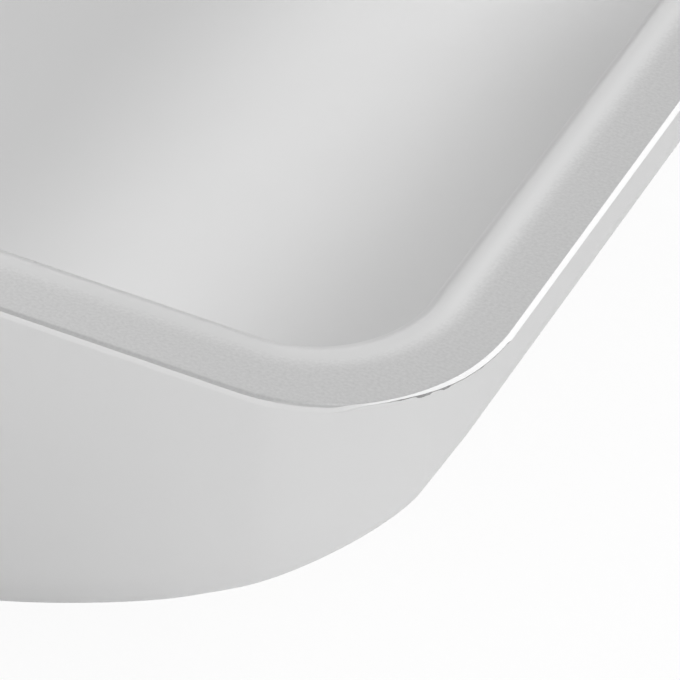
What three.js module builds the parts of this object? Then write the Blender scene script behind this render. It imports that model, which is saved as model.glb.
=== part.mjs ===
// Open-book cake pan: one aluminium sheet drawn into two page-shaped basins, with a flat trimmed rim all round.
// Millimetres, +Z up. X runs across the two pages, Y from the tail of the pages to their head.
// The origin lies under the middle of the pan, on the surface that it stands on.
import * as THREE from 'three';

const { clamp, degToRad, lerp, smoothstep } = THREE.MathUtils;

// Overall size, measured over the rim, and the sheet
const LENGTH = 381;
const WIDTH = 292;
const HEIGHT = 70;
const SHEET = 1;

// Rim: a level flange, and the bend that takes it down into the walls, with its reach inwards and its drop.
// In plan the corners are rounded, at the trimmed edge more than at the walls.
const RIM_FLAT = 4.5;
const BEND_REACH = 6;
const BEND_DROP = 4;
const CORNER_AT_TRIM = 19.5;
const CORNER_AT_WALL = 11.7;

// Walls: their lean from upright in degrees, and how far the round at their foot reaches along wall and floor
const HEAD_DRAFT = 4;
const FORE_DRAFT = 3;
const HEAD_FOOT = 11;
const FORE_FOOT = 3.5;

// The corners lean a little more. Past each end of the corner's arc, this lean and the change from the head wall's
// form to the fore-edge's ease out over these lengths.
const CORNER_DRAFT = 2.5;
const CORNER_EASE = 11;
const CHANGE_EASE = 7;

// Page curve: depth of the floor below the rim at the spine, on the crest and at the fore-edge
const SPINE_DEPTH = 42;
const CREST_DEPTH = HEIGHT - SHEET;
const EDGE_DEPTH = 29;
const CREST_START = 70;
const CREST_END = 90.5;
const SPINE_ROUND = 3.5;
const GUTTER_POWER = 2.3;
const PAGE_POWER = 2.2;

// Facets along each stretch, the last station at a fixed distance from the spine, and the places down the fore-edge
// from the corner to its middle as shares of the straight half
const GUTTER_STEPS = 10;
const PAGE_STEPS = 8;
const EASE_STEPS = 2;
const CORNER_STEPS = 9;
const BEND_STEPS = 6;
const FOOT_STEPS = 7;
const LAST_HEAD_STATION = 150;
const FORE_SHARES = [0.94, 0.75, 0.4, 0];

// Handle of a cubic arc that stands for a quarter circle, as a share of its radius
const CIRCLE_HANDLE = 0.56;
// Length over which a slope is measured, rounds in which wall and floor find where they meet, and the decimal places
// in which points that fall together agree
const SLOPE_STEP = 0.02;
const MEETING_ROUNDS = 6;
const SHARED_PLACES = 4;

const HALF_LENGTH = LENGTH / 2;
const HALF_WIDTH = WIDTH / 2;
const WALL_INSET = RIM_FLAT + BEND_REACH;
const PAGE_EDGE = HALF_LENGTH - WALL_INSET;
const HALF_ARC = CORNER_AT_TRIM * Math.PI / 4;
const FORE_STEPS = FORE_SHARES.length;

// Depth of the floor below the rim at a distance x from the spine. The spine is a rounded ridge, the crest a level
// land, and from there the page rises in one long curve to the fore-edge.
function pageDepth(x) {
  const across = Math.abs(x);
  if (across < CREST_START) {
    const rounded = Math.hypot(across, SPINE_ROUND) - SPINE_ROUND;
    const full = Math.hypot(CREST_START, SPINE_ROUND) - SPINE_ROUND;
    return CREST_DEPTH - (CREST_DEPTH - SPINE_DEPTH) * (1 - rounded / full) ** GUTTER_POWER;
  }
  const rise = clamp((across - CREST_END) / (PAGE_EDGE - CREST_END), 0, 1);
  return CREST_DEPTH - (CREST_DEPTH - EDGE_DEPTH) * rise ** PAGE_POWER;
}

// The rim's corners tighten from the trimmed edge to the walls.
function cornerRadius(inset) {
  return lerp(CORNER_AT_TRIM, CORNER_AT_WALL, Math.min(inset / WALL_INSET, 1));
}

// Distance from the trimmed edge to the centre of the corner's arc at an inset
function cornerCentre(inset) {
  return inset + cornerRadius(inset);
}

// Stations of one quarter of the pan, from the spine along the head wall, round the corner and down the fore-edge.
// at gives the place of the station at an inset. pastCorner is measured along the trimmed edge from the middle of
// the corner: less than zero on the head wall, more on the fore-edge.
function quarterStations() {
  const stations = [];
  const headStraight = HALF_LENGTH - cornerCentre(0);
  const foreStraight = HALF_WIDTH - cornerCentre(0);
  const head = (x) => stations.push({
    pastCorner: x(0) - headStraight - HALF_ARC,
    at: (inset) => [x(inset), HALF_WIDTH - inset],
  });
  for (let step = 0; step <= GUTTER_STEPS; step++) head(() => CREST_START * (step / GUTTER_STEPS) ** 2);
  for (let step = 0; step <= PAGE_STEPS; step++) head(() => lerp(CREST_END, LAST_HEAD_STATION, step / PAGE_STEPS));
  for (let step = 1; step < EASE_STEPS; step++) {
    head((inset) => lerp(LAST_HEAD_STATION, HALF_LENGTH - cornerCentre(inset), step / EASE_STEPS));
  }
  for (let step = 0; step <= CORNER_STEPS; step++) {
    const turn = step / CORNER_STEPS;
    const angle = (1 - turn) * Math.PI / 2;
    stations.push({
      pastCorner: HALF_ARC * (2 * turn - 1),
      at: (inset) => [
        HALF_LENGTH - cornerCentre(inset) + cornerRadius(inset) * Math.cos(angle),
        HALF_WIDTH - cornerCentre(inset) + cornerRadius(inset) * Math.sin(angle),
      ],
    });
  }
  for (const share of FORE_SHARES) {
    stations.push({
      pastCorner: HALF_ARC + foreStraight * (1 - share),
      at: (inset) => [HALF_LENGTH - inset, share * (HALF_WIDTH - cornerCentre(inset))],
    });
  }
  return stations;
}

// Section of the upper surface at one station, as points of inset from the trimmed edge and depth below the rim
function section({ pastCorner, at }) {
  const change = smoothstep(pastCorner, -HALF_ARC - CHANGE_EASE, HALF_ARC + CHANGE_EASE);
  const inCorner = 1 - smoothstep(Math.abs(pastCorner), 0, HALF_ARC + CORNER_EASE);
  const draft = degToRad(lerp(HEAD_DRAFT, FORE_DRAFT, change) + CORNER_DRAFT * inCorner);
  const lean = Math.tan(draft);
  const foot = lerp(HEAD_FOOT, FORE_FOOT, change);
  const floor = (inset) => pageDepth(at(inset)[0]);
  const slope = (inset) => (floor(inset + SLOPE_STEP / 2) - floor(inset - SLOPE_STEP / 2)) / SLOPE_STEP;

  // The bend is a quarter of an ellipse that stops where it has the lean of the wall.
  const points = [new THREE.Vector2(0, 0), new THREE.Vector2(RIM_FLAT, 0)];
  const lastAngle = Math.atan(BEND_REACH / (BEND_DROP * lean));
  for (let step = 1; step <= BEND_STEPS; step++) {
    const angle = lastAngle * step / BEND_STEPS;
    points.push(new THREE.Vector2(RIM_FLAT + BEND_REACH * Math.sin(angle), BEND_DROP * (1 - Math.cos(angle))));
  }
  const bendEnd = points.at(-1);
  const wall = (inset) => bendEnd.y + (inset - bendEnd.x) / lean;

  // Where the leaning wall would meet the floor. The wall is steep, so each round comes far closer.
  let meet = bendEnd.x;
  for (let round = 0; round < MEETING_ROUNDS; round++) meet = bendEnd.x + (floor(meet) - bendEnd.y) * lean;

  // The foot of the wall is rounded: it leaves the wall and joins the floor at the same reach from where they meet.
  const start = new THREE.Vector2(meet - foot * Math.sin(draft), wall(meet) - foot * Math.cos(draft));
  const landing = meet + foot / Math.hypot(1, slope(meet));
  const end = new THREE.Vector2(landing, floor(landing));
  const tangent = slope(landing);
  const kneeInset = (end.y - tangent * landing - wall(0)) / (1 / lean - tangent);
  const knee = new THREE.Vector2(kneeInset, wall(kneeInset));
  const round = new THREE.CubicBezierCurve(
    start,
    start.clone().lerp(knee, CIRCLE_HANDLE),
    end.clone().lerp(knee, CIRCLE_HANDLE),
    end,
  );
  points.push(...round.getPoints(FOOT_STEPS));
  return points;
}

// Points shared by neighbouring facets are stored once.
class FacetSheet {
  constructor() {
    this.points = [];
    this.faces = [];
    this.known = new Map();
  }

  vertex(point) {
    const key = point.toArray().map((value) => value.toFixed(SHARED_PLACES)).join(' ');
    if (!this.known.has(key)) {
      this.known.set(key, this.points.length);
      this.points.push(point);
    }
    return this.known.get(key);
  }

  quad(a, b, c, d) {
    this.faces.push([a, b, c], [a, c, d]);
  }

  geometry() {
    const geometry = new THREE.BufferGeometry().setFromPoints(this.points);
    geometry.setIndex(this.faces.flat());
    geometry.computeVertexNormals();
    return geometry;
  }
}

// The four quarters joined into one ring, anticlockwise from the middle of the right fore-edge
function ringOfSections() {
  const quarter = quarterStations().map((station) => ({ station, points: section(station) }));
  const fromForeEdge = [...quarter].reverse();
  const place = (list, signX, signY) => list.map(({ station, points }) => points.map(({ x: inset, y: depth }) => {
    const [x, y] = station.at(inset);
    return new THREE.Vector3(signX * x, signY * y, HEIGHT - depth);
  }));
  return [
    ...place(fromForeEdge, 1, 1),
    ...place(quarter.slice(1), -1, 1),
    ...place(fromForeEdge.slice(1), -1, -1),
    ...place(quarter.slice(1, -1), 1, -1),
  ];
}

// Upper surface of the sheet: rim, bend, walls and their rounded foot, then the floor ruled between head and tail
function upperSurface() {
  const sheet = new FacetSheet();
  const ring = ringOfSections();
  const rows = ring.map((points) => points.map((point) => sheet.vertex(point)));
  const count = rows.length;
  for (let k = 0; k < count; k++) {
    const here = rows[k];
    const next = rows[(k + 1) % count];
    for (let j = 0; j + 1 < here.length; j++) sheet.quad(here[j], next[j], next[j + 1], here[j + 1]);
  }

  const landing = ring.map((points) => points.at(-1));
  const wrap = (k) => landing[(k + count) % count];
  const half = count / 2;
  const toMiddle = [1, ...FORE_SHARES];
  const shares = [...toMiddle, ...toMiddle.slice(0, -1).reverse().map((share) => -share)];
  const columns = [];
  for (let k = FORE_STEPS; k <= half - FORE_STEPS; k++) {
    columns.push(shares.map((share) => wrap(k).clone().lerp(wrap(count - k), (1 - share) / 2)));
  }
  for (let row = 0; row < shares.length; row++) {
    columns[0][row] = wrap(FORE_STEPS - row);
    columns.at(-1)[row] = wrap(half - FORE_STEPS + row);
  }
  const grid = columns.map((column) => column.map((point) => sheet.vertex(point)));
  for (let c = 0; c + 1 < grid.length; c++) {
    for (let row = 0; row + 1 < shares.length; row++) {
      sheet.quad(grid[c][row], grid[c + 1][row], grid[c + 1][row + 1], grid[c][row + 1]);
    }
  }
  return { geometry: sheet.geometry(), trim: rows.map((row) => row[0]) };
}

// The sheet's thickness: the upper surface, the same surface moved along its normals, and the cut edge between them
function thicken({ geometry, trim }) {
  const position = geometry.getAttribute('position');
  const normal = geometry.getAttribute('normal');
  const index = geometry.getIndex().array;
  const count = position.count;
  const points = [];
  for (let v = 0; v < count; v++) points.push(new THREE.Vector3().fromBufferAttribute(position, v));
  for (let v = 0; v < count; v++) {
    points.push(points[v].clone().addScaledVector(new THREE.Vector3().fromBufferAttribute(normal, v), -SHEET));
  }
  const faces = [...index];
  for (let f = 0; f < index.length; f += 3) {
    faces.push(index[f] + count, index[f + 2] + count, index[f + 1] + count);
  }
  trim.forEach((here, k) => {
    const next = trim[(k + 1) % trim.length];
    faces.push(here, here + count, next + count, here, next + count, next);
  });
  const shell = new THREE.BufferGeometry().setFromPoints(points);
  shell.setIndex(faces);
  shell.computeVertexNormals();
  return shell;
}

const satinAluminium = new THREE.MeshStandardMaterial({ color: 0xc6c7c8, roughness: 0.45, metalness: 1 });

const panShell = new THREE.Mesh(thicken(upperSurface()), satinAluminium);
panShell.name = 'pan_shell';

const bookCakePan = new THREE.Group();
bookCakePan.add(panShell);

export default bookCakePan;
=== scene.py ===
# %% [markdown]
# # An open-book cake pan
# The pan is one aluminium sheet, drawn into two page-shaped basins and anodised to a satin grey. This
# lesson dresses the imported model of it: the same form on a fine mesh, with the sheared edge of its rim, a
# satin finish, and the light and camera of a close product photograph. Everything is in metres, in the
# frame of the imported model.

# %% Load the frame
import math

import bpy
from mathutils import Matrix, Vector


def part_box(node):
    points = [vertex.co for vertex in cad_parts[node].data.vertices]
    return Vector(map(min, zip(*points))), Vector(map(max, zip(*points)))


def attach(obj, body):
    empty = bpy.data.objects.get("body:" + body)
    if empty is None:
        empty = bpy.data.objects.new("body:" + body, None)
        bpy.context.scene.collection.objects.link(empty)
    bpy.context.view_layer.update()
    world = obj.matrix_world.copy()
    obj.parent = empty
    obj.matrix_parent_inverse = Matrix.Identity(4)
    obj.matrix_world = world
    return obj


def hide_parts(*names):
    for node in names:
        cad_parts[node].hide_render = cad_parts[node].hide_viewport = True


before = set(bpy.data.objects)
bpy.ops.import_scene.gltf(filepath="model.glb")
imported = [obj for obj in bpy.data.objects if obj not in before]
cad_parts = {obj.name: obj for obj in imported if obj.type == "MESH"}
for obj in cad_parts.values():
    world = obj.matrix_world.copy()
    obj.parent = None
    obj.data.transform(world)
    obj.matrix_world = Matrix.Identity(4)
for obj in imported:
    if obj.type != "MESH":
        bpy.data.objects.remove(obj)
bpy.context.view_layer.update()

MM = 0.001
pan_low, pan_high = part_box("pan_shell")
print("pan over the rim, mm:", [round(side / MM, 1) for side in pan_high - pan_low])

# %% [markdown]
# ## Formulas as nodes
# The pan's shape follows a rule: a section is carried round a rounded rectangle, and its depth follows
# the curve of the pages. Geometry Nodes can hold such a rule, but a formula drawn node by node is hard to
# read. Here a small class stands for one value in a node tree, and plain arithmetic on it adds the Math
# nodes. The materials and the world use it too, because their trees have the same Math node.


# %% Arithmetic that adds Math nodes
class Field:
    """One value in a node tree."""

    def __init__(self, tree, socket):
        self.tree = tree
        self.socket = socket

    def __add__(self, other):
        return formula("ADD", self, other)

    def __sub__(self, other):
        return formula("SUBTRACT", self, other)

    def __rsub__(self, other):
        return formula("SUBTRACT", other, self)

    def __mul__(self, other):
        return formula("MULTIPLY", self, other)

    def __truediv__(self, other):
        return formula("DIVIDE", self, other)

    def __rtruediv__(self, other):
        return formula("DIVIDE", other, self)

    def __pow__(self, exponent):
        return formula("POWER", self, exponent)

    __radd__ = __add__
    __rmul__ = __mul__


def feed(tree, slot, value):
    """Links a field to a socket, or sets the socket to a plain number."""
    if isinstance(value, Field):
        tree.links.new(value.socket, slot)
    else:
        slot.default_value = value


def formula(operation, *values):
    """A Math node on fields and numbers."""
    tree = next(value.tree for value in values if isinstance(value, Field))
    node = tree.nodes.new("ShaderNodeMath")
    node.operation = operation
    for slot, value in zip(node.inputs, values):
        feed(tree, slot, value)
    return Field(tree, node.outputs[0])


print("operators of a field: + - * / **")


# %% Shares and whole numbers
def unit(value):
    """A value held between 0 and 1."""
    return formula("MINIMUM", formula("MAXIMUM", value, 0.0), 1.0)


def mix(start, end, share):
    """From start to end as share goes from 0 to 1."""
    return start + (end - start) * share


def smooth(value):
    """An S-shaped rise from 0 to 1."""
    held = unit(value)
    return held * held * (3.0 - 2.0 * held)


def whole(value):
    """The nearest whole number."""
    return formula("ROUND", value)


print("a quarter of the way from 10 to 20:", mix(10, 20, 0.25))

# %% [markdown]
# ## The sizes that drive the pan
# The rim is a level flange that turns down into leaning walls, and the walls end in a rounded foot on the
# page floor. The outer size comes from the frame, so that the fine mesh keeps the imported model's box. The
# other sizes were fitted to the photograph, and what it doesn't show follows such pans as they are sold.
# Each becomes a named input of the node tree, so that a formula can ask for it by name.

# %% Driving sizes
SHEET = 1.0 * MM
SIZES = {
    # Over all
    "Half length": pan_high.x,
    "Half width": pan_high.y,
    "Height": pan_high.z,
    "Sheet": SHEET,
    # Flange, bend and corners
    "Rim flat": 4.5 * MM,
    "Bend reach": 6.0 * MM,
    "Bend drop": 4.0 * MM,
    "Corner at trim": 19.5 * MM,
    "Corner at wall": 11.7 * MM,
    # Lean of the walls, and how gently it changes from head to corner to fore-edge
    "Head draft": math.radians(4.0),
    "Fore draft": math.radians(3.0),
    "Corner draft": math.radians(2.5),
    "Corner ease": 11.0 * MM,
    "Change ease": 7.0 * MM,
    "Head foot": 11.0 * MM,
    "Fore foot": 3.5 * MM,
    # Page curve
    "Spine depth": 42.0 * MM,
    "Edge depth": 29.0 * MM,
    "Crest start": 70.0 * MM,
    "Crest end": 90.5 * MM,
    "Spine round": 3.5 * MM,
    "Gutter power": 2.3,
    "Page power": 2.2,
    # Sheared edge
    "Edge band": 0.36 * MM,
    "Roll-over": 0.21 * MM,
    "Slant": 0.15 * MM,
    "Tear": 0.06 * MM,
    "Tear height": 0.19 * MM,
    "Burr": 0.26 * MM,
    "Burr grain": 700.0,
    "Seed": 66.0,
}
print("named sizes:", len(SIZES))

# %% [markdown]
# ## How fine the mesh is
# Satin metal shows every facet in its highlights, so the mesh is fine where the form turns: round the
# corners, over the bend and in the foot. A subdivision modifier would add the same number everywhere.
# Counting the steps puts them where they show.

# %% Steps of the mesh
HEAD_STEPS, CORNER_STEPS, FORE_STEPS = 100, 100, 12
QUARTER_STEPS = HEAD_STEPS + CORNER_STEPS + FORE_STEPS
RING_STEPS = 4 * QUARTER_STEPS
FLAT_STEPS, BEND_STEPS, WALL_STEPS, FOOT_STEPS = 4, 13, 5, 12
SECTION_STEPS = FLAT_STEPS + BEND_STEPS + WALL_STEPS + FOOT_STEPS
print("stations round the rim:", RING_STEPS, "points in a section:", SECTION_STEPS + 1)

# %% [markdown]
# ## A tree with named inputs
# A sheet is a surface, and a surface is a flat grid whose points have been moved. So each surface of the
# pan starts as a Grid node. A point's place on the grid, as whole numbers, says which column and row it
# belongs to, and a formula then says where it goes.


# %% Trees, grids and places
def new_tree(name, sizes):
    """A geometry tree whose named inputs come back as fields."""
    tree = bpy.data.node_groups.new(name, "GeometryNodeTree")
    for label, value in sizes.items():
        socket = tree.interface.new_socket(label, in_out="INPUT", socket_type="NodeSocketFloat")
        socket.default_value = value
    tree.interface.new_socket("Mesh", in_out="OUTPUT", socket_type="NodeSocketGeometry")
    entry = tree.nodes.new("NodeGroupInput")
    return tree, {label: Field(tree, entry.outputs[label]) for label in sizes}


def unit_grid(tree, columns, rows):
    """A flat grid, with the whole-number column and row of each of its points as fields."""
    grid = tree.nodes.new("GeometryNodeMeshGrid")
    grid.inputs["Size X"].default_value = 1.0
    grid.inputs["Size Y"].default_value = 1.0
    grid.inputs["Vertices X"].default_value = columns + 1
    grid.inputs["Vertices Y"].default_value = rows + 1
    parts = tree.nodes.new("ShaderNodeSeparateXYZ")
    tree.links.new(tree.nodes.new("GeometryNodeInputPosition").outputs[0], parts.inputs[0])
    column = whole((Field(tree, parts.outputs["X"]) + 0.5) * float(columns))
    row = whole((Field(tree, parts.outputs["Y"]) + 0.5) * float(rows))
    return grid.outputs["Mesh"], column, row


def point_at(tree, x, y, z):
    """The socket of a point."""
    point = tree.nodes.new("ShaderNodeCombineXYZ")
    for slot, value in zip(point.inputs, (x, y, z)):
        feed(tree, slot, value)
    return point.outputs[0]


def then(tree, kind, mesh, settings):
    """Sends a mesh through one more node, with some of the node's inputs set."""
    node = tree.nodes.new(kind)
    tree.links.new(mesh, node.inputs[0])
    for label, value in settings.items():
        node.inputs[label].default_value = value
    return node


def place(tree, mesh, x, y, z):
    """Moves every point of the mesh to x, y, z."""
    move = then(tree, "GeometryNodeSetPosition", mesh, {})
    tree.links.new(point_at(tree, x, y, z), move.inputs["Position"])
    return move.outputs[0]


sheet_tree, size_fields = new_tree("drawn_sheet", SIZES)
print("inputs of the tree:", len(size_fields))

# %% [markdown]
# ## The page curve
# Seen from the head, the floor is an open book turned over: a rounded ridge at the spine, a level crest
# on which the pan stands, and one long curve up to the fore-edge. It could be a drawn curve. Two power
# curves with a level stretch between them give it with fewer numbers, and a square root with a small
# radius in it rounds the ridge.


# %% Depth of the floor below the rim
def page_depth(size, x):
    """Depth of the floor at x."""
    across = formula("ABSOLUTE", x)
    crest_depth = size["Height"] - size["Sheet"]
    radius = size["Spine round"]

    def rounded(distance):
        return formula("SQRT", distance * distance + radius * radius) - radius

    gutter = unit(1.0 - rounded(across) / rounded(size["Crest start"]))
    page_edge = size["Half length"] - size["Rim flat"] - size["Bend reach"]
    rise = unit((across - size["Crest end"]) / (page_edge - size["Crest end"]))
    return (
        crest_depth
        - (crest_depth - size["Spine depth"]) * gutter ** size["Gutter power"]
        - (crest_depth - size["Edge depth"]) * rise ** size["Page power"]
    )


print("depth of the crest, mm:", round((SIZES["Height"] - SHEET) / MM, 1))

# %% [markdown]
# ## One quarter of the way round
# A station is a place on the trimmed edge, counted from the spine along the head wall, round the corner,
# and down the fore-edge. The corners tighten from the trimmed edge to the walls, so a station also has to
# say where it lies at every inset. Stations crowd towards the spine, whose ridge is the sharpest form on
# the floor, and towards the corner, so that the columns of the mesh don't change their width at once.


# %% A station of the quarter
class Station:
    """Where the section stands, from its step count along the quarter."""

    SPINE_CROWDING = 1.6
    CORNER_CROWDING = 1.15
    HEAD_SHIFT_START = 0.6
    RIGHT_ANGLE = math.pi / 2

    def __init__(self, size, step):
        self.size = size
        along_head = unit(step / float(HEAD_STEPS))
        self.turn = unit((step - float(HEAD_STEPS)) / float(CORNER_STEPS))
        self.share = 1.0 - unit((step - float(HEAD_STEPS + CORNER_STEPS)) / float(FORE_STEPS))
        self.on_head = formula("LESS_THAN", step, HEAD_STEPS - 0.5)
        self.head_straight = size["Half length"] - size["Corner at trim"]
        crowding = 1.0 + self.CORNER_CROWDING * (1.0 - along_head)
        self.head_x = self.head_straight * along_head ** self.SPINE_CROWDING * crowding
        self.shift = smooth((along_head - self.HEAD_SHIFT_START) / (1.0 - self.HEAD_SHIFT_START))
        self.angle = (1.0 - self.turn) * self.RIGHT_ANGLE

    def corner_radius(self, inset):
        wall_inset = self.size["Rim flat"] + self.size["Bend reach"]
        return mix(self.size["Corner at trim"], self.size["Corner at wall"], unit(inset / wall_inset))

    def x(self, inset):
        radius = self.corner_radius(inset)
        centre = self.size["Half length"] - inset - radius
        straight = self.head_x - self.shift * (self.head_straight - centre)
        return mix(centre + radius * formula("COSINE", self.angle), straight, self.on_head)

    def y(self, inset):
        radius = self.corner_radius(inset)
        centre = self.size["Half width"] - inset - radius
        return self.share * centre + radius * formula("SINE", self.angle)

    def half_arc(self):
        return self.size["Corner at trim"] * (self.RIGHT_ANGLE / 2)

    def past_corner(self):
        """Distance along the trimmed edge from the middle of the corner, below zero on the head wall."""
        fore_straight = self.size["Half width"] - self.size["Corner at trim"]
        on_arc = self.half_arc() * (2.0 * self.turn - 1.0)
        return on_arc - (self.head_straight - self.head_x) + fore_straight * (1.0 - self.share)

    def change(self):
        """From 0 on the head wall to 1 on the fore-edge."""
        reach = self.half_arc() + self.size["Change ease"]
        return smooth(0.5 * self.past_corner() / reach + 0.5)

    def in_corner(self):
        """One in the middle of the corner, nothing on the straight walls."""
        reach = self.half_arc() + self.size["Corner ease"]
        return 1.0 - smooth(formula("ABSOLUTE", self.past_corner()) / reach)

    def on_turn(self, first, last):
        """From 0 to 1 between two places on the corner's turn."""
        return smooth((self.turn - first) / (last - first))


head_run = SIZES["Half length"] - SIZES["Corner at trim"]
print("straight run from the spine to a corner, mm:", round(head_run / MM, 1))

# %% [markdown]
# ## The section
# Across the rim the sheet is a level flange, a round bend, a leaning wall and a rounded foot on the
# floor. The foot is a Bezier arc between the wall and the floor. Where the wall would meet the floor
# depends on the floor's depth there, so the meeting point is found by trying three times: the wall is so
# steep that each try is far closer.


# %% The section at a station
class Section:
    """Inset from the trimmed edge and depth below the rim, along the upper side of the sheet."""

    CIRCLE_HANDLE = 0.56
    EDGE_CROWDING = 2.5
    NUDGE = 0.1 * MM
    TRIES = 3

    def __init__(self, station):
        size = station.size
        self.station = station
        change = station.change()
        self.draft = mix(size["Head draft"], size["Fore draft"], change)
        self.draft = self.draft + size["Corner draft"] * station.in_corner()
        lean = formula("TANGENT", self.draft)
        foot = mix(size["Head foot"], size["Fore foot"], change)
        self.last_angle = formula("ARCTANGENT", size["Bend reach"] / (size["Bend drop"] * lean))
        self.bend_inset = size["Rim flat"] + size["Bend reach"] * formula("SINE", self.last_angle)
        self.bend_depth = size["Bend drop"] * (1.0 - formula("COSINE", self.last_angle))

        def wall(inset):
            return self.bend_depth + (inset - self.bend_inset) / lean

        meet = self.bend_inset
        for _ in range(self.TRIES):
            meet = self.bend_inset + (self.floor(meet) - self.bend_depth) * lean
        slope = self.floor_slope(meet)
        self.start = (
            meet - foot * formula("SINE", self.draft),
            wall(meet) - foot * formula("COSINE", self.draft),
        )
        landing = meet + foot / formula("SQRT", slope * slope + 1.0)
        self.end = (landing, self.floor(landing))
        tangent = self.floor_slope(landing)
        knee = (self.end[1] - tangent * landing - wall(0.0)) / (1.0 / lean - tangent)
        self.knee = (knee, wall(knee))

    def floor(self, inset):
        return page_depth(self.station.size, self.station.x(inset))

    def floor_slope(self, inset):
        return (self.floor(inset + self.NUDGE) - self.floor(inset - self.NUDGE)) / (2 * self.NUDGE)

    def at(self, row):
        """Inset and depth at a row, counted from the trimmed edge."""
        size = self.station.size
        flat = unit(row / float(FLAT_STEPS)) ** self.EDGE_CROWDING
        bend = unit((row - float(FLAT_STEPS)) / float(BEND_STEPS))
        wall = unit((row - float(FLAT_STEPS + BEND_STEPS)) / float(WALL_STEPS))
        foot = unit((row - float(SECTION_STEPS - FOOT_STEPS)) / float(FOOT_STEPS))
        angle = bend * self.last_angle
        inset = mix(size["Edge band"], size["Rim flat"], flat) + size["Bend reach"] * formula("SINE", angle)
        depth = size["Bend drop"] * (1.0 - formula("COSINE", angle))
        inset = inset + wall * (self.start[0] - self.bend_inset) + self.foot_arc(0, foot) - self.start[0]
        depth = depth + wall * (self.start[1] - self.bend_depth) + self.foot_arc(1, foot) - self.start[1]
        return inset, depth

    def foot_arc(self, axis, t):
        start, knee, end = self.start[axis], self.knee[axis], self.end[axis]
        first = mix(start, knee, self.CIRCLE_HANDLE)
        second = mix(end, knee, self.CIRCLE_HANDLE)
        rest = 1.0 - t
        return (
            rest * rest * rest * start
            + 3.0 * rest * rest * t * first
            + 3.0 * rest * t * t * second
            + t * t * t * end
        )


print("flange and bend reach inwards, mm:", round((SIZES["Rim flat"] + SIZES["Bend reach"]) / MM, 1))

# %% [markdown]
# ## Round the whole rim
# The pan is the same on both sides of the spine and from head to tail, so one quarter gives all four. A
# mirror would leave two of them inside out. Instead the columns run once round the rim, every other
# quarter counts its steps backwards, and a sign puts each quarter on its side.


# %% Rim, bend, walls and foot
# Less than a column, so that a quarter's first column is safely counted to it
COLUMN_NUDGE = 0.25


def ring_station(size, column):
    """The station of a column of the ring, with the signs that put it in its quarter."""
    quarter = formula("FLOOR", (column + COLUMN_NUDGE) / float(QUARTER_STEPS))
    step = column - quarter * float(QUARTER_STEPS)
    odd = formula("FLOORED_MODULO", quarter, 2.0)
    step = mix(float(QUARTER_STEPS) - step, step, odd)
    # Of the quarters 0 to 3, the first and the last have x above zero, and the first two have y above zero
    place_in_turn = formula("FLOORED_MODULO", quarter, 4.0)
    sign_x = formula("SIGN", formula("ABSOLUTE", place_in_turn - 1.5) - 1.0)
    sign_y = formula("SIGN", 1.5 - place_in_turn)
    return Station(size, step), sign_x, sign_y


def skin(tree, size):
    """Rim, bend, walls and foot of the upper side."""
    mesh, column, row = unit_grid(tree, RING_STEPS, SECTION_STEPS)
    station, sign_x, sign_y = ring_station(size, column)
    inset, depth = Section(station).at(row)
    x, y = sign_x * station.x(inset), sign_y * station.y(inset)
    return place(tree, mesh, x, y, size["Height"] - depth)


print("faces of the skin:", RING_STEPS * SECTION_STEPS)

# %% [markdown]
# ## The page floor
# The floor doesn't change from head to tail, so it is a ruled surface: straight lines from the landing of
# each section on the tail wall to the landing of the section across from it. The first and last lines run
# along the fore-edges and take the landings there.


# %% The ruled floor
def page_floor(tree, size):
    """The page floor, ruled from the tail to the head between the landings of opposite sections."""
    side_steps = HEAD_STEPS + CORNER_STEPS
    mesh, column, row = unit_grid(tree, 2 * side_steps, 2 * FORE_STEPS)
    across = column / float(side_steps) - 1.0
    along = row / float(FORE_STEPS) - 1.0
    at_fore_edge = formula("GREATER_THAN", formula("ABSOLUTE", across), 1.0 - 0.5 / side_steps)
    reach = formula("ABSOLUTE", along)
    step = formula("ABSOLUTE", across) * float(side_steps)
    step = whole(step) + at_fore_edge * (1.0 - reach) * float(FORE_STEPS)
    station = Station(size, step)
    landing, depth = Section(station).end
    x = formula("SIGN", across) * station.x(landing)
    y = formula("SIGN", along) * station.y(landing) * mix(reach, 1.0, at_fore_edge)
    return place(tree, mesh, x, y, size["Height"] - depth)


print("lines from tail to head:", 2 * (HEAD_STEPS + CORNER_STEPS) + 1)

# %% [markdown]
# ## The sheared edge
# The rim is trimmed in a press, and its edge shows how. Along the head and tail the shear pulls the upper
# side over, into a narrow slope that mirrors the dark of the room. As the edge turns into the corner that
# roll-over gets rounder and ends, the cut gets thin, and the metal under it tears and leaves slivers.
# Along the fore-edges the cut is clean, slanted and almost as high as the sheet. A bevel would be even
# all round, so the edge is built row by row instead, from the underside to the flange, and each row
# follows the place on the corner's turn.


# %% Noise and rows
NOISE_DETAIL = 2.0


def noise_at(tree, x, y, z, scale, seed=None):
    """Noise from 0 to 1 at a point, and another pattern of it for each seed."""
    noise = tree.nodes.new("ShaderNodeTexNoise")
    if seed is not None:
        noise.noise_dimensions = "4D"
        feed(tree, noise.inputs["W"], seed)
    noise.inputs["Detail"].default_value = NOISE_DETAIL
    tree.links.new(point_at(tree, x, y, z), noise.inputs["Vector"])
    feed(tree, noise.inputs["Scale"], scale)
    return Field(tree, noise.outputs[0])


def pick_row(tree, row, values):
    """The value that belongs to the row."""
    switch = tree.nodes.new("GeometryNodeIndexSwitch")
    switch.data_type = "FLOAT"
    while len(switch.index_switch_items) < len(values):
        switch.index_switch_items.new()
    feed(tree, switch.inputs["Index"], row)
    for slot, value in zip(list(switch.inputs)[1:], values):
        feed(tree, slot, value)
    return Field(tree, switch.outputs[0])


print("one wave of the burr's noise, mm:", round(1 / SIZES["Burr grain"] / MM, 2))

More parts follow.
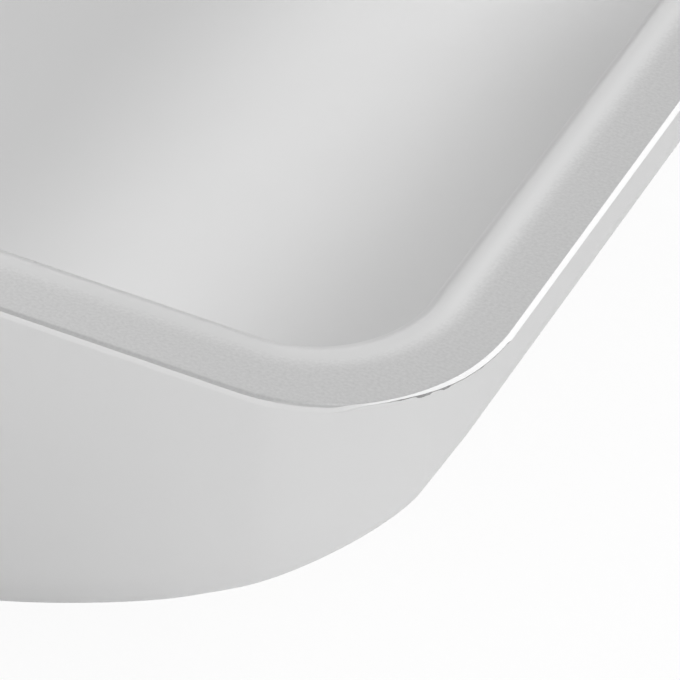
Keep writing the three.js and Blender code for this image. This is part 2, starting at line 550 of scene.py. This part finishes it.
# %% Rows of the edge
# Places on the corner's turn, from 0 at the head wall to 1 at the fore-edge
ROUND_TURN = (0.08, 0.2)
ROLL_OVER_END = (0.3, 0.38)
TEAR_TURN = (0.29, 0.42)
CORNER_CUT_TURN = (0.48, 0.77)
SLANT_TURN = (0.7, 0.95)
CLEAN_TURN = (0.96, 0.99)
# Height of the cut as a share of the sheet, on the head, at both ends of the tear, and on the fore-edge
HEAD_CUT, CORNER_CUT_FIRST, CORNER_CUT_LAST, CLEAN_CUT = 0.95, 0.32, 0.8, 0.97
# Roll-over: rows across it, how much it varies, and its rounding and depth in the corner
ROLL_OVER_SHARES = (0.0, 0.03, 0.35, 0.7, 1.0)
ROLL_OVER_SPREAD = (0.85, 1.15)
ROUND_POWER, ROUND_DEPTH = 3.0, 1.4
# Tear: waves of its upper line, and where the noise is high enough for a sliver
TEAR_WAVE = 0.12 * MM
WAVE_FINENESS, WAVE_SEED = 2.0, 7.0
BURR_START, BURR_GAIN = 0.5, 7.0
UNDER_SHARE = 0.3
HAIR = 0.02 * MM


def edge_profile(tree, size, station, edge_x, edge_y):
    """Insets and depths of the rows, from the underside of the rim over tear and cut to the upper side."""
    grain, seed = size["Burr grain"], size["Seed"]
    ragged = noise_at(tree, edge_x, edge_y, 0.0, grain, seed)
    wave = noise_at(tree, edge_x, edge_y, 0.0, grain * WAVE_FINENESS, seed + WAVE_SEED)
    sheet, band = size["Sheet"], size["Edge band"]
    clean = station.on_turn(*CLEAN_TURN)
    torn = station.on_turn(*TEAR_TURN) * (1.0 - clean)
    rounding = station.on_turn(*ROUND_TURN)

    roll_over = size["Roll-over"] * (1.0 - station.on_turn(*ROLL_OVER_END))
    roll_over = roll_over * mix(*ROLL_OVER_SPREAD, ragged) * mix(1.0, ROUND_DEPTH, rounding)
    top_inset = HAIR + size["Slant"] * station.on_turn(*SLANT_TURN)
    top_depth = HAIR + roll_over

    corner_cut = mix(CORNER_CUT_FIRST, CORNER_CUT_LAST, station.on_turn(*CORNER_CUT_TURN))
    cut_share = mix(mix(HEAD_CUT, CLEAN_CUT, clean), corner_cut, torn)
    foot_inset = HAIR * (1.0 - clean)
    foot_depth = sheet * cut_share - TEAR_WAVE * wave * torn

    burr = size["Burr"] * unit((ragged - BURR_START) * BURR_GAIN)
    tear_inset = HAIR + size["Tear"] * (1.0 - clean)
    tear_depth = mix(sheet, foot_depth + size["Tear height"] + burr, torn)

    insets = [band, mix(band, tear_inset, UNDER_SHARE), tear_inset]
    depths = [sheet, sheet, formula("MINIMUM", sheet, tear_depth)]
    insets += [foot_inset, mix(foot_inset, top_inset, 0.5)]
    depths += [foot_depth, mix(foot_depth, top_depth, 0.5)]
    power = mix(1.0, ROUND_POWER, rounding)
    for share in ROLL_OVER_SHARES:
        insets.append(mix(top_inset, band, share))
        depths.append(top_depth * formula("POWER", 1.0 - share, power))
    return insets, depths


print("roll-over, mm:", round(SIZES["Roll-over"] / MM, 2))
print("tear, mm:", round(SIZES["Tear height"] / MM, 2))

# %% [markdown]
# ## Strips of the edge
# The rows belong to four strips that differ in finish or shading: the underside, the torn line, the cut
# and the roll-over. Each strip is a grid of its own, and neighbours share a row. The roll-over's outer
# two rows lie close together: a render that blends normals across the sharp edge can then only do so in a
# line too thin to see.

# %% Strips round the rim
UNDER_ROWS, TORN_ROWS, CUT_ROWS, ROLLED_ROWS = (0, 2), (2, 3), (3, 5), (5, 9)


def edge_strip(tree, size, first, last):
    """A strip round the rim, from one row of the edge to another."""
    mesh, column, row = unit_grid(tree, RING_STEPS, last - first)
    station, sign_x, sign_y = ring_station(size, column)
    no_inset = 0.0 * column
    edge_x, edge_y = sign_x * station.x(no_inset), sign_y * station.y(no_inset)
    insets, depths = edge_profile(tree, size, station, edge_x, edge_y)
    inset = pick_row(tree, row, insets[first:last + 1])
    depth = pick_row(tree, row, depths[first:last + 1])
    x, y = sign_x * station.x(inset), sign_y * station.y(inset)
    return place(tree, mesh, x, y, size["Height"] - depth)


print("rows of faces on the edge:", ROLLED_ROWS[1])

# %% [markdown]
# ## One closed sheet
# The underside is the upper side moved along its normals by the sheet's thickness and turned over, as
# Solidify would do it. Doing it in the tree leaves the rim open for the strips of the edge. Points that
# fall together are then merged, so the sheet is closed all round.

# %% Surfaces to a sheet
WELD = 0.002 * MM


def joined(tree, *meshes):
    """Several surfaces as one, in their order."""
    node = tree.nodes.new("GeometryNodeJoinGeometry")
    for mesh in reversed(meshes):
        tree.links.new(mesh, node.inputs[0])
    return node.outputs[0]


def welded(tree, mesh):
    """The surface with its doubled points merged."""
    return then(tree, "GeometryNodeMergeByDistance", mesh, {"Distance": WELD}).outputs[0]


def underside(tree, mesh, size):
    """The same surface a sheet's thickness below, facing the other way."""
    shift = tree.nodes.new("ShaderNodeVectorMath")
    shift.operation = "SCALE"
    tree.links.new(tree.nodes.new("GeometryNodeInputNormal").outputs[0], shift.inputs[0])
    feed(tree, shift.inputs["Scale"], 0.0 - size["Sheet"])
    move = then(tree, "GeometryNodeSetPosition", mesh, {})
    tree.links.new(shift.outputs[0], move.inputs["Offset"])
    return then(tree, "GeometryNodeFlipFaces", move.outputs[0], {}).outputs[0]


def shaded(tree, mesh, is_smooth):
    """The surface, shaded smooth or flat."""
    return then(tree, "GeometryNodeSetShadeSmooth", mesh, {"Shade Smooth": is_smooth}).outputs[0]


def marked(tree, mesh):
    """The surface, and a socket that is true on its faces alone once it is joined to others."""
    mark = then(tree, "GeometryNodeCaptureAttribute", mesh, {})
    mark.domain = "FACE"
    mark.capture_items.new("BOOLEAN", "Marked")
    mark.inputs["Marked"].default_value = True
    return mark.outputs["Geometry"], mark.outputs["Marked"]


print("points merge within, mm:", WELD / MM)

# %% [markdown]
# ## Satin anodised aluminium
# The sheet has the soft grey of anodised aluminium: metal, but matt enough that nothing shows as a mirror
# image. A picture of metal would repeat and would bring its own light. So the finish is made of noise at
# two sizes: clouds of slightly different gloss, about a centimetre wide, and the very fine grain of the
# rolled sheet, two thousandths of a millimetre high. On the level flange, where the sheet wasn't
# stretched, the grain also shows as lighter and darker specks.


# %% Helpers for finishes
def material_nodes(name):
    """A new material, its tree and its shader."""
    material = bpy.data.materials.new(name)
    material.use_nodes = True
    return material, material.node_tree, material.node_tree.nodes["Principled BSDF"]


def object_place(tree):
    """The shaded point in the pan's own frame, as three fields."""
    coords = tree.nodes.new("ShaderNodeTexCoord")
    parts = tree.nodes.new("ShaderNodeSeparateXYZ")
    tree.links.new(coords.outputs["Object"], parts.inputs[0])
    return [Field(tree, parts.outputs[axis]) for axis in "XYZ"]


def raise_surface(tree, shader, height, depth):
    """Bumps the surface by a field from 0 to 1, which stands for a real depth."""
    bump = tree.nodes.new("ShaderNodeBump")
    bump.inputs["Distance"].default_value = depth
    feed(tree, bump.inputs["Height"], height)
    tree.links.new(bump.outputs["Normal"], shader.inputs["Normal"])


print("top of the flange, mm:", round(pan_high.z / MM, 1))

# %% Satin finish
SATIN_GREY = 0.78
SATIN_ROUGHNESS = (0.32, 0.36)
CLOUD_SCALE = 70.0
GRAIN_TONE = 0.25
GRAIN_SCALE = 3500.0
GRAIN_LENGTH = 1.3
GRAIN_DEPTH = 0.002 * MM
FLANGE_LOW, FLANGE_RISE = 0.25 * MM, 0.2 * MM


def satin_anodised():
    """Satin grey metal, faintly cloudy, with the rolled sheet's grain."""
    material, tree, shader = material_nodes("satin_anodised")
    shader.inputs["Metallic"].default_value = 1.0
    x, y, z = object_place(tree)
    grain = noise_at(tree, x / GRAIN_LENGTH, y, z, GRAIN_SCALE)
    on_flange = smooth((z - (pan_high.z - FLANGE_LOW)) / FLANGE_RISE)
    feed(tree, shader.inputs["Base Color"], ((grain - 0.5) * GRAIN_TONE * on_flange + 1.0) * SATIN_GREY)
    feed(tree, shader.inputs["Roughness"], mix(*SATIN_ROUGHNESS, noise_at(tree, x, y, z, CLOUD_SCALE)))
    raise_surface(tree, shader, grain, GRAIN_DEPTH)
    return material


SATIN = satin_anodised()
print("satin grey:", SATIN_GREY, "roughness:", SATIN_ROUGHNESS)

# %% [markdown]
# ## The cut
# Where the shear went through, the metal is uncoated and matt, with fine drag lines from top to bottom. On
# the fore-edges it is brighter than the satin, and so matt that it looks almost like white paint: a metal
# share well below 1 gives that. This near white is partly the uncoated metal and partly a painted
# highlight, for the bright light on the right that the fore-edges face. Along the head and tail the cut
# keeps the satin's grey, so the base colour changes with the distance from the spine.

# %% Bare cut with a painted highlight
# Near white of the cut, partly a painted highlight, and where it takes over from the satin grey
CUT_GREY_AND_PAINTED_HIGHLIGHT, CUT_METAL = 0.98, 0.3
CUT_ROUGHNESS = (0.62, 0.78)
PAINTED_HIGHLIGHT_FROM, PAINTED_HIGHLIGHT_TO = 180.5 * MM, 185.0 * MM
DRAG_SCALE = 4000.0
DRAG_LENGTH = 8.0
DRAG_DEPTH = 0.003 * MM


def sheared_cut_painted_highlight():
    """Matt cut metal with drag lines, grey at head and tail, and near white on the rest with a painted
    highlight.
    """
    material, tree, shader = material_nodes("sheared_cut_painted_highlight")
    shader.inputs["Metallic"].default_value = CUT_METAL
    x, y, z = object_place(tree)
    drag = noise_at(tree, x, y, z / DRAG_LENGTH, DRAG_SCALE)
    # Painted highlight: the base colour brightens from satin grey to near white towards the fore-edges,
    # which face the bright light
    painted_highlight = smooth((formula("ABSOLUTE", x) - PAINTED_HIGHLIGHT_FROM) / (PAINTED_HIGHLIGHT_TO - PAINTED_HIGHLIGHT_FROM))
    feed(tree, shader.inputs["Base Color"], mix(SATIN_GREY, CUT_GREY_AND_PAINTED_HIGHLIGHT, painted_highlight))
    feed(tree, shader.inputs["Roughness"], mix(*CUT_ROUGHNESS, drag))
    raise_surface(tree, shader, drag, DRAG_DEPTH)
    return material


CUT = sheared_cut_painted_highlight()
print("bare from, mm from the spine:", round(PAINTED_HIGHLIGHT_FROM / MM, 1))

# %% [markdown]
# ## The torn line
# Under the cut of the corners the metal tore instead of shearing. The tear is rough and full of pits. Its
# base colour is darkened towards the corners: painted shade for the shadow under the overhanging cut. One
# noise gives the pits their colour, their gloss and their depth, so that the three agree.

# %% Torn metal with painted shade
# Painted shade: the tear's dark greys, varied by the pits' noise, and where along the rim they take over
# from the satin grey
TORN_GREY_PAINTED_SHADE = (0.2, 0.6)
TORN_ROUGHNESS = (0.5, 0.7)
PAINTED_SHADE_FROM, PAINTED_SHADE_TO = 183.5 * MM, 185.5 * MM
PIT_SCALE = 1500.0
PIT_DEPTH = 0.02 * MM


def torn_metal_painted_shade():
    """The torn line under the cut, rough with pits and darkened towards the corners with painted shade."""
    material, tree, shader = material_nodes("torn_metal_painted_shade")
    shader.inputs["Metallic"].default_value = 1.0
    x, y, z = object_place(tree)
    pits = noise_at(tree, x, y, z, PIT_SCALE)
    # Painted shade: the base colour darkens towards the corners, for the shadow under the overhanging cut
    painted_shade = smooth((formula("ABSOLUTE", x) - PAINTED_SHADE_FROM) / (PAINTED_SHADE_TO - PAINTED_SHADE_FROM))
    feed(tree, shader.inputs["Base Color"], mix(SATIN_GREY, mix(*TORN_GREY_PAINTED_SHADE, pits), painted_shade))
    feed(tree, shader.inputs["Roughness"], mix(*TORN_ROUGHNESS, pits))
    raise_surface(tree, shader, pits, PIT_DEPTH)
    return material


TORN = torn_metal_painted_shade()
print("pits from, mm from the spine:", round(PAINTED_SHADE_FROM / MM, 1))

# %% [markdown]
# ## The drawn sheet
# Now the surfaces come together in the tree. The skin, the floor, the underside and the roll-over are
# shaded smooth, as one flowing sheet. The other strips are flat, because their edges are sharp. The faces
# of the cut and of the tear are marked before the surfaces are joined, so that after the weld the tree
# can end in Realize Instances and Set Material: satin for all, and then the other two finishes for the
# marked faces.

# %% Join the surfaces
basins = joined(sheet_tree, skin(sheet_tree, size_fields), page_floor(sheet_tree, size_fields))
upper = welded(sheet_tree, basins)
lower = underside(sheet_tree, upper, size_fields)
rolled = edge_strip(sheet_tree, size_fields, *ROLLED_ROWS)
flowing = shaded(sheet_tree, joined(sheet_tree, upper, lower, rolled), True)
under = shaded(sheet_tree, edge_strip(sheet_tree, size_fields, *UNDER_ROWS), False)
cut = shaded(sheet_tree, edge_strip(sheet_tree, size_fields, *CUT_ROWS), False)
torn = shaded(sheet_tree, edge_strip(sheet_tree, size_fields, *TORN_ROWS), False)
cut, on_cut = marked(sheet_tree, cut)
torn, on_torn = marked(sheet_tree, torn)
closed = welded(sheet_tree, joined(sheet_tree, flowing, under, cut, torn))
print("nodes in the tree:", len(sheet_tree.nodes))

# %% Give the sheet its finishes
real = then(sheet_tree, "GeometryNodeRealizeInstances", closed, {})
in_satin = then(sheet_tree, "GeometryNodeSetMaterial", real.outputs[0], {"Material": SATIN})
with_cut = then(sheet_tree, "GeometryNodeSetMaterial", in_satin.outputs[0], {"Material": CUT})
with_torn = then(sheet_tree, "GeometryNodeSetMaterial", with_cut.outputs[0], {"Material": TORN})
sheet_tree.links.new(on_cut, with_cut.inputs["Selection"])
sheet_tree.links.new(on_torn, with_torn.inputs["Selection"])
sheet_tree.links.new(with_torn.outputs[0], sheet_tree.nodes.new("NodeGroupOutput").inputs[0])
print("finishes:", [finish.name for finish in (SATIN, CUT, TORN)])


# %% Keep the mesh
def mesh_from_tree(name, tree, sizes):
    """Runs the tree once and keeps its result as a plain mesh object at the origin."""
    holder = bpy.data.objects.new(name + "_rule", bpy.data.meshes.new(name + "_rule"))
    bpy.context.scene.collection.objects.link(holder)
    modifier = holder.modifiers.new(name, "NODES")
    modifier.node_group = tree
    for item in tree.interface.items_tree:
        if item.in_out == "INPUT":
            modifier[item.identifier] = sizes[item.name]
    shown = holder.evaluated_get(bpy.context.evaluated_depsgraph_get())
    mesh = bpy.data.meshes.new_from_object(shown)
    mesh.name = name
    holder.modifiers.remove(modifier)
    bpy.data.objects.remove(holder)
    piece = bpy.data.objects.new(name, mesh)
    bpy.context.scene.collection.objects.link(piece)
    return piece


drawn_sheet = mesh_from_tree("drawn_sheet", sheet_tree, SIZES)
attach(drawn_sheet, "root")
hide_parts("pan_shell")
print("drawn sheet:", len(drawn_sheet.data.polygons), "faces")

# %% [markdown]
# ## The white floor
# The pan stands on white paper that runs out of sight. Paper is a plain diffuse white. So that it reads
# as pure white behind the pan, most of what the camera sees of it is replaced by an even white glow, by
# Light Path, and the rest keeps the pan's shadow. The metal sees only a little of that glow, because the
# walls of the real pan also show the shade that they cast on the paper.

# %% White floor
FLOOR_REACH = 3.0
PAPER_WHITE = 0.96
GLOW_SEEN = 0.92
GLOW_MIRRORED = 0.03
floor_mesh = bpy.data.meshes.new("studio_floor")
signs = [(-1, -1), (1, -1), (1, 1), (-1, 1)]
floor_mesh.from_pydata([(x * FLOOR_REACH, y * FLOOR_REACH, 0.0) for x, y in signs], [], [(0, 1, 2, 3)])
studio_floor = bpy.data.objects.new("studio_floor", floor_mesh)
bpy.context.scene.collection.objects.link(studio_floor)


def white_paper():
    """Diffuse white that glows for the camera, and a little for metal."""
    material = bpy.data.materials.new("white_floor")
    material.use_nodes = True
    tree = material.node_tree
    tree.nodes.clear()
    output = tree.nodes.new("ShaderNodeOutputMaterial")
    paper = tree.nodes.new("ShaderNodeBsdfDiffuse")
    paper.inputs["Color"].default_value = (PAPER_WHITE, PAPER_WHITE, PAPER_WHITE, 1)
    glow = tree.nodes.new("ShaderNodeEmission")
    blend = tree.nodes.new("ShaderNodeMixShader")
    path = tree.nodes.new("ShaderNodeLightPath")
    seen = Field(tree, path.outputs["Is Camera Ray"])
    glossy = Field(tree, path.outputs["Is Glossy Ray"])
    mirrored = formula("MAXIMUM", glossy, Field(tree, path.outputs["Is Transmission Ray"]))
    feed(tree, blend.inputs["Fac"], seen * GLOW_SEEN + mirrored * GLOW_MIRRORED)
    tree.links.new(paper.outputs[0], blend.inputs[1])
    tree.links.new(glow.outputs[0], blend.inputs[2])
    tree.links.new(blend.outputs[0], output.inputs["Surface"])
    return material


floor_mesh.materials.append(white_paper())
print("floor:", 2 * FLOOR_REACH, "m wide")

# %% [markdown]
# ## The studio light
# Satin metal shows its surroundings, blurred, so the tones of the pan are those of the studio. Four soft
# boxes in a grey room give them: one large and high on the right, which lights the pages, one low in
# front on the left, and two behind the pan, which draw the highlight along the bend. Area lamps could
# stand in a camera's way, so the boxes are soft round patches of the world. A white horizon goes on where
# the floor ends, and the camera itself sees the whole room as white.

# %% Soft boxes
SOFT_BOXES = [
    {"azimuth": 20, "elevation": 45, "half width": 24, "strength": 2.23},
    {"azimuth": 240, "elevation": 12, "half width": 13.5, "strength": 3.2},
    {"azimuth": 138, "elevation": 28, "half width": 13.5, "strength": 0.65},
    {"azimuth": 112, "elevation": 18, "half width": 9, "strength": 0.38},
]


def soft_box(towards, box):
    """Light of one soft box in a direction, falling to half of its strength at its half width."""
    azimuth, elevation = math.radians(box["azimuth"]), math.radians(box["elevation"])
    x, y, z = towards
    level = math.cos(elevation)
    facing = x * (level * math.cos(azimuth)) + y * (level * math.sin(azimuth)) + z * math.sin(elevation)
    tightness = math.log(2.0) / (1.0 - math.cos(math.radians(box["half width"])))
    return formula("EXPONENT", (facing - 1.0) * tightness) * box["strength"]


print("soft boxes:", len(SOFT_BOXES))

# %% Grey room with a white horizon
ROOM_LEVEL = 0.493
HORIZON_TOP = math.radians(3.0)
HORIZON_FADE = 0.08
WHITE = 1.0
world = bpy.data.worlds.new("studio")
bpy.context.scene.world = world
world.use_nodes = True
sky = world.node_tree
coords = sky.nodes.new("ShaderNodeTexCoord")
parts = sky.nodes.new("ShaderNodeSeparateXYZ")
sky.links.new(coords.outputs["Generated"], parts.inputs[0])
towards = [Field(sky, parts.outputs[axis]) for axis in "XYZ"]
light = soft_box(towards, SOFT_BOXES[0]) + ROOM_LEVEL
for box in SOFT_BOXES[1:]:
    light = light + soft_box(towards, box)
above_horizon = smooth((towards[2] - math.sin(HORIZON_TOP)) / HORIZON_FADE)
room = mix(WHITE, light, above_horizon)
seen = Field(sky, sky.nodes.new("ShaderNodeLightPath").outputs["Is Camera Ray"])
background = sky.nodes["Background"]
background.inputs["Color"].default_value = (1, 1, 1, 1)
feed(sky, background.inputs["Strength"], mix(room, WHITE, seen))
print("level of the room:", ROOM_LEVEL)

# %% [markdown]
# ## The camera
# The photograph is a close view of one corner of the rim, nearly parallel, as a long lens gives it. A
# camera could be turned until the picture fits. Here it is placed by that corner: its pixel in the
# picture and the picture's scale there say where the eye has to be, and no lens shift is needed.

# %% Camera
IMAGE = 680
FOCAL_PIXELS = 5121.0
PIXELS_PER_METRE = 10850.0
AZIMUTH, ELEVATION = math.radians(26.995), math.radians(41.404)
CORNER_PIXEL = (422.3, 454.6)
SENSOR_WIDTH = 36.0
NEAREST = 0.01
level = math.cos(ELEVATION)
back_axis = Vector((math.sin(AZIMUTH) * level, -math.cos(AZIMUTH) * level, math.sin(ELEVATION)))
right_axis = Vector((math.cos(AZIMUTH), math.sin(AZIMUTH), 0))
up_axis = back_axis.cross(right_axis)
rim_corner = Vector((pan_high.x, pan_low.y, pan_high.z))
distance = FOCAL_PIXELS / PIXELS_PER_METRE
offset = right_axis * (CORNER_PIXEL[0] - IMAGE / 2) - up_axis * (CORNER_PIXEL[1] - IMAGE / 2)
eye = rim_corner + back_axis * distance - offset / PIXELS_PER_METRE
camera_data = bpy.data.cameras.new("camera")
camera_data.sensor_width = SENSOR_WIDTH
camera_data.lens = FOCAL_PIXELS * SENSOR_WIDTH / IMAGE
camera_data.clip_start = NEAREST
camera = bpy.data.objects.new("camera", camera_data)
bpy.context.scene.collection.objects.link(camera)
axes = Matrix((right_axis, up_axis, back_axis)).transposed().to_4x4()
camera.matrix_world = Matrix.Translation(eye) @ axes
bpy.context.scene.camera = camera
bpy.context.scene.view_settings.view_transform = "Standard"
print("camera to the corner, m:", round(distance, 3), "lens, mm:", round(camera_data.lens, 1))
